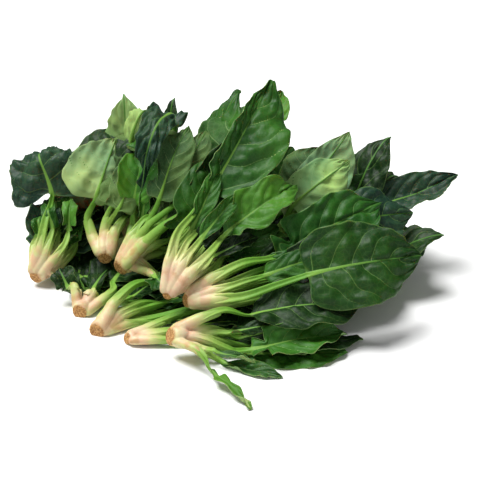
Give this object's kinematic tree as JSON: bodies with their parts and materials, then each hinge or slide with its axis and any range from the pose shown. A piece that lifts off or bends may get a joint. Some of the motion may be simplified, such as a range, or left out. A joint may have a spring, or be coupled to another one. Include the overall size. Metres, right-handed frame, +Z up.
{
  "type": "spinach bunch",
  "caption": "Loose bunch of whole spinach plants lying heaped, crowns together at one side, each crown with grooved stalks that open into broad, arching leaf blades.",
  "frame": {"origin": "the middle of the bounding box's bottom face, on the surface that the bunch lies on", "axes": "+X along the bunch's longest extent, from the outer left crown to the leaf tips on the right; +Y from the side with the cut crowns to the leaves at the back; +Z up"},
  "size_m": [0.3942, 0.3672, 0.1693],
  "materials": {
    "crown": "fleshy pink and cream root crown, satin",
    "leaf": "soft green leaf, half gloss"
  },
  "bodies": {
    "root": {"centre_crown": "crown", "centre_leaf_1": "leaf", "centre_leaf_2": "leaf", "centre_leaf_3": "leaf", "centre_leaf_4": "leaf", "centre_right_crown": "crown", "centre_right_leaf_1": "leaf", "centre_right_leaf_2": "leaf", "centre_right_leaf_3": "leaf", "centre_right_leaf_4": "leaf", "far_left_crown": "crown", "far_left_leaf_1": "leaf", "far_left_leaf_2": "leaf", "far_left_leaf_3": "leaf", "far_left_leaf_4": "leaf", "far_left_leaf_5": "leaf", "front_crown": "crown", "front_leaf_1": "leaf", "front_leaf_2": "leaf", "front_left_crown": "crown", "front_left_leaf_1": "leaf", "front_left_leaf_2": "leaf", "front_left_leaf_3": "leaf", "front_right_crown": "crown", "front_right_leaf_1": "leaf", "front_right_leaf_2": "leaf", "front_right_leaf_3": "leaf", "inner_left_crown": "crown", "inner_left_leaf_1": "leaf", "inner_left_leaf_2": "leaf", "inner_left_leaf_3": "leaf", "inner_left_leaf_4": "leaf", "inner_left_leaf_5": "leaf", "inner_middle_crown": "crown", "inner_middle_leaf_1": "leaf", "inner_middle_leaf_2": "leaf", "inner_middle_leaf_3": "leaf", "inner_middle_leaf_4": "leaf", "inner_middle_leaf_5": "leaf", "inner_right_crown": "crown", "inner_right_leaf_1": "leaf", "inner_right_leaf_2": "leaf", "inner_right_leaf_3": "leaf", "inner_right_leaf_4": "leaf", "inner_right_leaf_5": "leaf", "inner_right_leaf_6": "leaf", "low_left_crown": "crown", "low_left_leaf_1": "leaf", "low_left_leaf_2": "leaf", "low_left_leaf_3": "leaf", "mid_left_crown": "crown", "mid_left_leaf_1": "leaf", "mid_left_leaf_2": "leaf", "mid_left_leaf_3": "leaf", "mid_left_leaf_4": "leaf", "mid_left_leaf_5": "leaf", "rear_left_crown": "crown", "rear_left_leaf_1": "leaf", "rear_left_leaf_2": "leaf", "rear_left_leaf_3": "leaf"}
  },
  "joints": []
}
